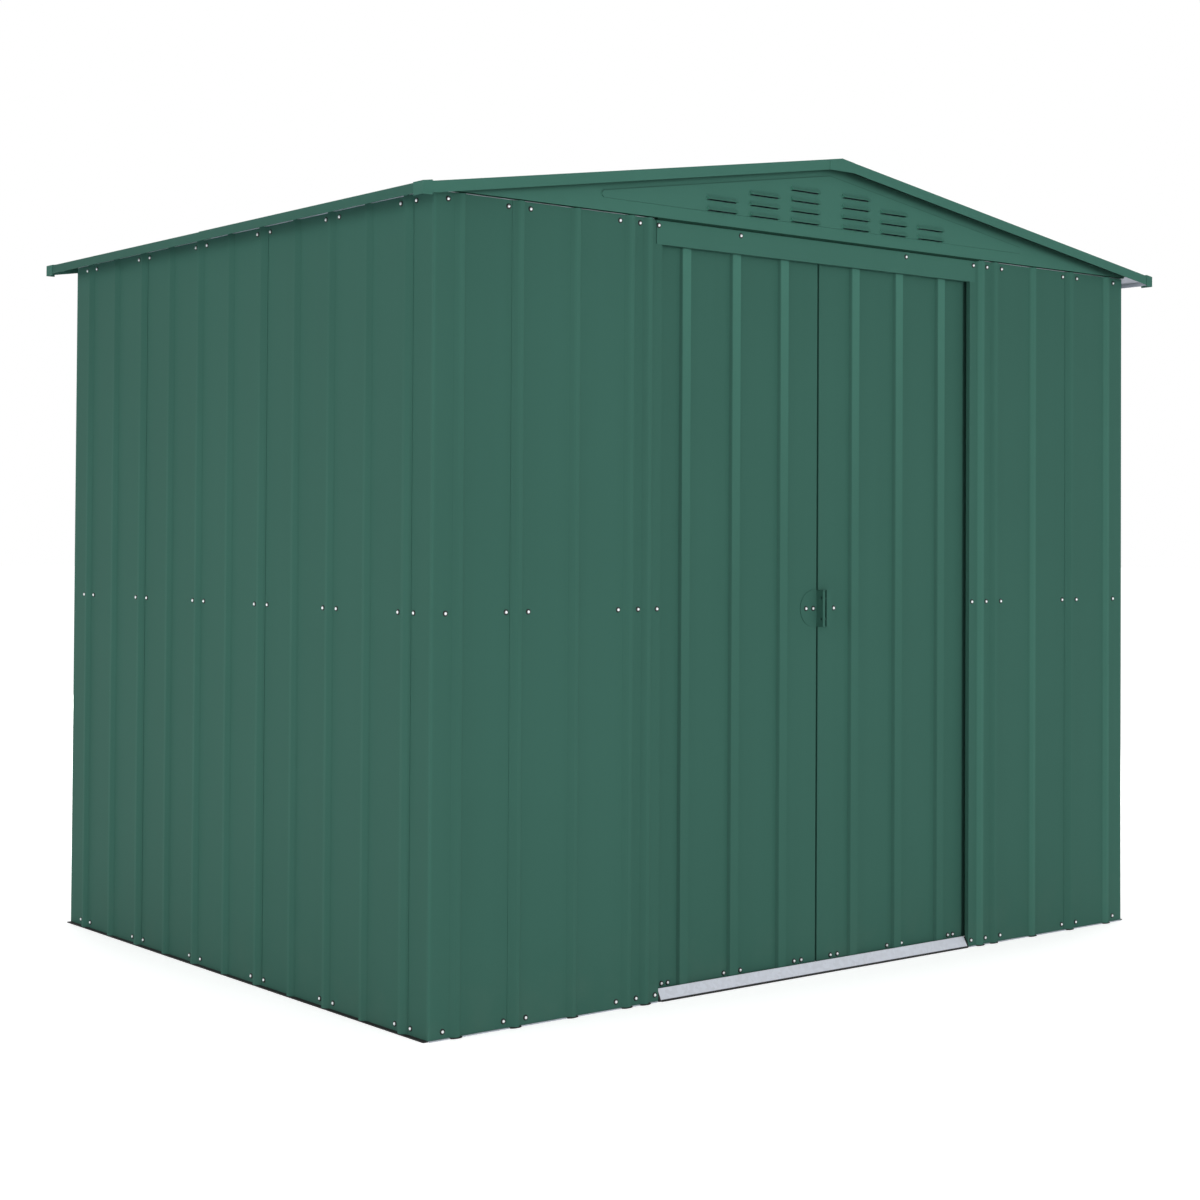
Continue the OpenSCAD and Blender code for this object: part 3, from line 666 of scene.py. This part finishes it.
def dome(radius, height, foot):
    """Rings of a low dome with a short upright rim and a cross recess in its top."""
    rings = [(radius, foot, False), (radius, foot + RIM_SHARE * height, False)]
    for share in DOME_RINGS:
        rise = RIM_SHARE + (1 - RIM_SHARE) * math.sqrt(1 - share * share)
        rings.append((share * radius, foot + rise * height, share <= RECESS_REACH))
    return rings


WASHER_RINGS = [
    (WASHER_RADIUS, 0.0, False),
    (WASHER_RADIUS, 0.5 * WASHER_HEIGHT, False),
    (0.86 * WASHER_RADIUS, WASHER_HEIGHT, False),
    (0.5 * WASHER_RADIUS, WASHER_HEIGHT, False),
]
HEAD_RINGS = dome(HEAD_RADIUS, HEAD_HEIGHT, WASHER_HEIGHT)


def screws(name, seats, body):
    """All the screws of one wall as one mesh: seats are (place in mm, outward direction)."""
    mesh = bmesh.new()
    for turn, (place, outward) in enumerate(seats):
        out = Vector(outward).normalized()
        spin = Matrix.Rotation(math.radians(SPIN_STEP * turn % 90), 4, "Z")
        seat = Matrix.Translation(Vector(place) * MM)
        placing = seat @ out.to_track_quat("Z", "Y").to_matrix().to_4x4() @ spin
        lathe(mesh, WASHER_RINGS, placing, 0)
        lathe(mesh, HEAD_RINGS, placing, 1)
    add_piece(name, mesh, (rubber, head_zinc), body)


SCREW_ROWS = (17.6, 900.7, 1783.6)
BESIDE_RIB = 29.6
SIDE_FIRST_JOINT = 94.0
SIDE_JOINTS = 6
BACK_FIRST_JOINT = 224.0
BACK_JOINTS = 7
FRONT_OUT = (0, -1, 0)
BACK_OUT = (0, 1, 0)


def seat_height(level):
    """How far the outside of a sheet lies in front of the frame line: one sheet, or two."""
    return level + ONE_SHEET


def side_wall_seats(sign, first_level):
    """A pair of screws in each row beside every lapped rib of a side wall."""
    seats = []
    for joint in range(SIDE_JOINTS):
        middle = -WALL_Y + SIDE_FIRST_JOINT + SHEET_COVER * joint
        before = (first_level + joint) % 2
        for offset, level in ((-BESIDE_RIB, before), (BESIDE_RIB, 1 - before)):
            for row in SCREW_ROWS:
                x = sign * (WALL_X + seat_height(level))
                seats.append(((x, middle + offset, row), (sign, 0, 0)))
    return seats


def back_wall_seats():
    """The same for the back wall."""
    seats = []
    for joint in range(BACK_JOINTS):
        middle = -WALL_X + BACK_FIRST_JOINT + SHEET_COVER * joint
        before = joint % 2
        for offset, level in ((-BESIDE_RIB, before), (BESIDE_RIB, 1 - before)):
            for row in SCREW_ROWS:
                seats.append(((middle + offset, WALL_Y + seat_height(level), row), BACK_OUT))
    return seats


# distances of the front wall's screws from the middle of the doorway
CORNER_SCREWS = (1124.3, 965.6)
PANEL_SCREWS = (906.4, 653.6)
JAMB_SCREW = 594.4
JAMB_EDGE_SCREW = 538.5


def front_wall_seats():
    """Both sides of the doorway: corner sheet, panel and jamb lap in turn."""
    seats = []
    for sign, corner_level in ((-1, 0), (1, 1)):
        corner_y = -WALL_Y - seat_height(corner_level)
        panel_y = -WALL_Y - seat_height(1 - corner_level)
        columns = [(x, corner_y) for x in CORNER_SCREWS]
        columns += [(x, panel_y) for x in PANEL_SCREWS]
        columns.append((JAMB_SCREW, corner_y))
        for x, y in columns:
            for row in SCREW_ROWS:
                seats.append(((sign * x, y, row), FRONT_OUT))
        for row in SCREW_ROWS[:2]:
            seats.append(((sign * JAMB_EDGE_SCREW, corner_y, row), FRONT_OUT))
    return seats


HEADER_FACE = -877.0
HEADER_ROW = 1783.5
HEADER_SCREWS = (-540.0, -284.5, 284.5, 540.0)
header_seats = [((x, HEADER_FACE, HEADER_ROW), FRONT_OUT) for x in HEADER_SCREWS]

screws("left_wall_screws", side_wall_seats(-1, 0), "root")
screws("right_wall_screws", side_wall_seats(1, 1), "root")
screws("back_wall_screws", back_wall_seats(), "root")
screws("front_wall_screws", front_wall_seats(), "root")
screws("header_screws", header_seats, "root")

HANDLE_FACE = -850.5
DOOR_FOOT_ROW = 34.0
HANDLE_ROW = 892.0
DOOR_FOOT_SCREWS = (50.0, 74.0, 251.0, 304.0, 478.0, 497.0)
LEFT_HANDLE_SCREWS = (15.1, 39.4)
RIGHT_HANDLE_SCREWS = (31.0, 55.0)

for side, sign, handle_screws in (
        ("left", -1, LEFT_HANDLE_SCREWS), ("right", 1, RIGHT_HANDLE_SCREWS)):
    seats = [((sign * x, DOOR_FACE, DOOR_FOOT_ROW), FRONT_OUT) for x in DOOR_FOOT_SCREWS]
    seats += [((sign * x, HANDLE_FACE, HANDLE_ROW), FRONT_OUT) for x in handle_screws]
    screws(side + "_door_screws", seats, side + "_door")

# roof screws stand square to the slopes, beside the lapped ribs and along the ridge cap
ROOF_FRAME_EAVE = 1802.5
ROOF_FRAME_APEX = ROOF_FRAME_EAVE + WALL_X * TAN_PITCH
ROOF_PLAY = 0.02
ROOF_RUN = 930.0
ROOF_EDGE_RIB = 16.0
ROOF_PANELS = 6
ROOF_MODULE = 2 * (ROOF_RUN - ROOF_EDGE_RIB) / ROOF_PANELS
ROOF_RIB = 7.0
ROOF_SKIN = ROOF_RIB + 2 * (ONE_SHEET + ROOF_PLAY)
ROOF_ROWS = (130.0, 580.0, 1145.0)
RIDGE_CAP_ROW = 92.0
RIDGE_CAP_REACH = 880.0


def on_roof(sign, x, y, over):
    """A place over the underside of a slope, measured square to it, and its direction."""
    out = Vector((sign * math.sin(ROOF_PITCH), 0.0, math.cos(ROOF_PITCH)))
    foot = Vector((sign * x, y, ROOF_FRAME_APEX - x * TAN_PITCH))
    return foot + out * over, out


def roof_rib(count):
    """Where the lapped rib with this number lies along the ridge."""
    return -ROOF_RUN + ROOF_EDGE_RIB + count * ROOF_MODULE


roof_seats = []
for sign in (-1, 1):
    for joint in range(1, ROOF_PANELS):
        before = (joint - 1) % 2
        for offset, level in ((-BESIDE_RIB, before), (BESIDE_RIB, 1 - before)):
            for row in ROOF_ROWS:
                over = ROOF_PLAY + seat_height(level)
                roof_seats.append(on_roof(sign, row, roof_rib(joint) + offset, over))
    for joint in range(ROOF_PANELS + 1):
        if abs(roof_rib(joint)) < RIDGE_CAP_REACH:
            over = ROOF_SKIN + ONE_SHEET
            roof_seats.append(on_roof(sign, RIDGE_CAP_ROW, roof_rib(joint), over))
screws("roof_screws", roof_seats, "root")


# Rubber, foam and lips at the joints; the dark rubber and foam pieces are painted shade


def extruded(name, solids, finish):
    """Closed solids, each a list of rings of points in mm, as one piece of the shed."""
    mesh = bmesh.new()
    for rings in solids:
        loops = []
        for ring in rings:
            loops.append([mesh.verts.new(Vector(point) * MM) for point in ring])
        join_loops(mesh, loops)
    add_piece(name, mesh, (finish,), "root")


# each plug is a stack of layers of (height, share of its full outline)
PLUG_HALF = 16.5
PLUG_OUT = 13.2
PLUG_STEPS = 14
PLUG_LAYERS = ((0.3, 0.90), (0.8, 1.0), (2.2, 1.0), (2.9, 0.97))
PLUG_BLUNTNESS = 0.6


def rib_plug(x, sign):
    """A dark rubber filler under the foot of one rib, painted shade; sign -1 is the front."""
    rings = []
    for height, share in PLUG_LAYERS:
        ring = []
        for step in range(PLUG_STEPS + 1):
            turn = math.pi * step / PLUG_STEPS
            across = -PLUG_HALF * share * math.cos(turn)
            depth = PLUG_OUT * share * math.sin(turn) ** PLUG_BLUNTNESS
            ring.append((x + across, sign * (WALL_Y + depth), height))
        rings.append(ring)
    return rings


FRONT_RIBS = (570.0, 624.0, 780.0, 936.0, 1092.0)
BACK_FIRST_RIB = 68.0
BACK_RIB_COUNT = 15

# dark plugs under the front ribs are painted shade
front_plugs = []
for sign in (-1, 1):
    for rib in FRONT_RIBS:
        front_plugs.append(rib_plug(sign * rib, -1))
extruded("front_rib_shadow_plugs", front_plugs, rubber)

# along the side walls one dark rubber strip under all the ribs is painted shade
STRIP_OUT = 12.6
STRIP_LAYERS = ((0.3, 0.94), (0.8, 1.0), (2.3, 1.0), (2.9, 0.96))


def side_strip(sign):
    rings = []
    for height, share in STRIP_LAYERS:
        inner = sign * WALL_X
        outer = sign * (WALL_X + STRIP_OUT * share)
        rings.append([
            (inner, -WALL_Y, height), (outer, -WALL_Y, height),
            (outer, WALL_Y, height), (inner, WALL_Y, height)])
    return rings


extruded("left_wall_shadow_strip", [side_strip(-1)], rubber)
extruded("right_wall_shadow_strip", [side_strip(1)], rubber)

# dark plugs under the back ribs are painted shade
back_plugs = []
for count in range(BACK_RIB_COUNT):
    back_plugs.append(rib_plug(-WALL_X + BACK_FIRST_RIB + RIB_PITCH * count, 1))
extruded("back_rib_shadow_plugs", back_plugs, rubber)


def run_along(outline, start, end):
    """An outline of (y, z) points drawn out along X."""
    return [[(x, y, z) for y, z in outline] for x in (start, end)]


# the floor rail shows as a narrow lip under the front sheets
LIP_START = 533.0
LIP_END = 1159.0
LIP_OUTLINE = (
    (-874.2, 0.3), (-880.2, 0.3), (-880.5, 0.6),
    (-880.5, 2.2), (-880.0, 2.8), (-874.2, 2.8))
lips = [run_along(LIP_OUTLINE, sign * LIP_START, sign * LIP_END) for sign in (-1, 1)]
extruded("front_floor_lips", lips, zinc)

# dark rubber at the ends of the threshold and a bead under its front edge, all painted shade
END_PLUG_START = 522.3
END_PLUG_END = 527.2
END_OUTLINE = ((-865.6, 27.4), (-878.6, 3.0), (-878.6, 0.4), (-865.6, 0.4))
end_plugs = [
    run_along(END_OUTLINE, sign * END_PLUG_START, sign * END_PLUG_END) for sign in (-1, 1)]
extruded("threshold_end_shadow_plugs", end_plugs, rubber)

SHADOW_BEAD_END = 521.5
SHADOW_BEAD_OUTLINE = (
    (-879.1, 4.6), (-880.6, 4.9), (-882.0, 4.2), (-882.4, 1.0), (-881.6, 0.2),
    (-876.8, 0.2), (-876.2, 0.9), (-876.2, 2.45), (-879.1, 2.45))
shadow_bead = run_along(SHADOW_BEAD_OUTLINE, -SHADOW_BEAD_END, SHADOW_BEAD_END)
extruded("threshold_shadow_bead", [shadow_bead], rubber)

# a dark foam strip under the foot of each gable is painted shadow, deeper over the header
GABLE_FOOT = 1800.0
FOAM_PLAY = 0.05
FOAM_ROUNDING = 0.3
FOAM_OUTER = 886.8
HEADER_FOAM_INNER = 877.2
WALL_FOAM_INNER = 875.2
HEADER_FOAM_DROP = 4.6
WALL_FOAM_DROP = 0.7
HEADER_END = 551.0


def foam_strip(sign, start, end, inner, drop):
    """A strip along X under a gable's foot; sign -1 is the front."""
    outline = (
        (FOAM_OUTER, -FOAM_PLAY), (FOAM_OUTER, -0.8 * drop), (FOAM_OUTER - FOAM_ROUNDING, -drop),
        (inner, -drop), (inner, -FOAM_PLAY))
    return run_along([(sign * y, GABLE_FOOT + z) for y, z in outline], start, end)


foam_strips = [foam_strip(-1, -HEADER_END, HEADER_END, HEADER_FOAM_INNER, HEADER_FOAM_DROP)]
for start, end in ((-WALL_X, -HEADER_END), (HEADER_END, WALL_X)):
    foam_strips.append(foam_strip(-1, start, end, WALL_FOAM_INNER, WALL_FOAM_DROP))
foam_strips.append(foam_strip(1, -WALL_X, WALL_X, WALL_FOAM_INNER, WALL_FOAM_DROP))
# the foam strips are painted shadow
extruded("gable_shadow_strips", foam_strips, foam)


# Floor, light and camera

WHITE = (1.0, 1.0, 1.0, 1.0)
FLOOR_PAINT = (0.80, 0.80, 0.80, 1.0)
FLOOR_ROUGHNESS = 0.9
FLOOR_REACH = 60.0
# how white the floor shows by itself: inside the shed, at its walls, and far away
INDOOR_LIFT = 0.25
WALL_LIFT = 0.58
FAR_LIFT = 0.95
WALL_FOOT = 10 * MM
FAR_FLOOR = 2.5


def seen_by_eye_or_mirror(tree):
    """1 for rays from the camera, off gloss or through glass; 0 for rays that carry light."""
    nodes = Wire(tree)
    path = nodes.add("ShaderNodeLightPath", output="Is Camera Ray")
    glossy = Wire(tree, path.socket.node.outputs["Is Glossy Ray"])
    through = Wire(tree, path.socket.node.outputs["Is Transmission Ray"])
    return path.highest(glossy).highest(through)


def studio_floor():
    """A pale floor that lifts itself to white away from the shed and keeps its shadow."""
    data = bpy.data.meshes.new("studio_floor")
    reach = FLOOR_REACH
    data.from_pydata(
        [(-reach, -reach, 0), (reach, -reach, 0), (reach, reach, 0), (-reach, reach, 0)],
        [], [(0, 1, 2, 3)])
    floor = bpy.data.objects.new("studio_floor", data)
    bpy.context.scene.collection.objects.link(floor)
    finish = Finish("studio_floor")
    finish.set("Base Color", FLOOR_PAINT)
    finish.set("Roughness", FLOOR_ROUGHNESS)
    finish.set("Specular IOR Level", 0.0)
    beside = abs(finish.place.part(0)) - FRAME_HALF_WIDTH
    before = abs(finish.place.part(1)) - FRAME_HALF_DEPTH
    away = beside.highest(before)
    outdoors = (WALL_LIFT - INDOOR_LIFT) * away.ramp(-WALL_FOOT, 0.0)
    lift = INDOOR_LIFT + outdoors + (FAR_LIFT - WALL_LIFT) * away.ramp(0.0, FAR_FLOOR)
    finish.set("Emission Color", (lift * seen_by_eye_or_mirror(finish.tree)).shaded(WHITE))
    finish.set("Emission Strength", 1.0)
    data.materials.append(finish.material)


# light from all round, strongest near eye level, as from tall white studio walls
RING_LIGHT = 0.70
ZENITH_SHARE = 0.12
RING_FADE = (0.15, 0.75)


def studio_world():
    """White to the eye; for light, a bright band round the horizon under a dimmer ceiling."""
    world = bpy.data.worlds.new("studio")
    bpy.context.scene.world = world
    world.use_nodes = True
    tree = world.node_tree
    background = tree.nodes["Background"]
    background.inputs["Color"].default_value = WHITE
    seen = seen_by_eye_or_mirror(tree)
    rise = Wire(tree).add("ShaderNodeTexCoord", output="Generated").part(2)
    band = 1 - (1 - ZENITH_SHARE) * rise.ramp(*RING_FADE)
    strength = seen + (1 - seen) * (RING_LIGHT * band)
    tree.links.new(strength.socket, background.inputs["Strength"])


def soft_lamp(name, place, target, size, power):
    """A round lamp that lights the shed but is not seen itself."""
    data = bpy.data.lights.new(name, "AREA")
    data.shape = "DISK"
    data.size = size
    data.energy = power
    lamp = bpy.data.objects.new(name, data)
    lamp.location = place
    aim = Vector(target) - Vector(place)
    lamp.rotation_euler = aim.to_track_quat("-Z", "Y").to_euler()
    lamp.visible_camera = False
    lamp.visible_glossy = False
    bpy.context.scene.collection.objects.link(lamp)


LAMP_SIZE = 2.8
END_POWER = 293.0
SIDE_POWER = 79.0
TOP_SIZE = 6.0
TOP_POWER = 480.0

studio_floor()
studio_world()
soft_lamp("near_lamp", (-1.0, -8.8, 1.5), (0.0, -0.8, 1.0), LAMP_SIZE, END_POWER)
soft_lamp("far_lamp", (1.0, 8.8, 1.5), (0.0, 0.8, 1.0), LAMP_SIZE, END_POWER)
soft_lamp("left_lamp", (-5.2, -0.8, 1.8), (-1.0, 0.0, 1.0), LAMP_SIZE, SIDE_POWER)
soft_lamp("right_lamp", (5.2, 0.8, 1.8), (1.0, 0.0, 1.0), LAMP_SIZE, SIDE_POWER)
soft_lamp("top_lamp", (0.0, 0.0, 9.0), (0.0, 0.0, 2.0), TOP_SIZE, TOP_POWER)

# the camera of the photograph, in a 1200 by 1200 frame
FRAME_PIXELS = 1200
FOCAL_PIXELS = 2110.73
MIDDLE_PIXEL = (630.0, 497.25)
CAMERA_YAW = math.radians(39.30345)
CAMERA_PITCH = math.radians(-1.06606)
CAMERA_ROLL = math.radians(0.32200)
CAMERA_PLACE = Vector((-3660.426, -4589.605, 1066.412)) * MM
CAMERA_REACH = 200.0
SENSOR = 36.0


def photo_camera():
    data = bpy.data.cameras.new("photo_camera")
    data.sensor_width = SENSOR
    data.lens = FOCAL_PIXELS * SENSOR / FRAME_PIXELS
    data.shift_x = (FRAME_PIXELS / 2 - MIDDLE_PIXEL[0]) / FRAME_PIXELS
    data.shift_y = (MIDDLE_PIXEL[1] - FRAME_PIXELS / 2) / FRAME_PIXELS
    data.clip_end = CAMERA_REACH
    upright = Matrix(((1, 0, 0), (0, 0, -1), (0, 1, 0)))
    turn = Matrix.Rotation(CAMERA_YAW, 3, "Z")
    tip = Matrix.Rotation(CAMERA_PITCH, 3, "X")
    roll = Matrix.Rotation(CAMERA_ROLL, 3, "Z")
    view = roll @ tip @ upright @ turn
    across, down, ahead = (Vector(row) for row in view)
    axes = Matrix((across, -down, -ahead)).transposed()
    camera = bpy.data.objects.new("photo_camera", data)
    camera.matrix_world = Matrix.Translation(CAMERA_PLACE) @ axes.to_4x4()
    bpy.context.scene.collection.objects.link(camera)
    bpy.context.scene.camera = camera


photo_camera()
bpy.context.scene.view_settings.view_transform = "Standard"
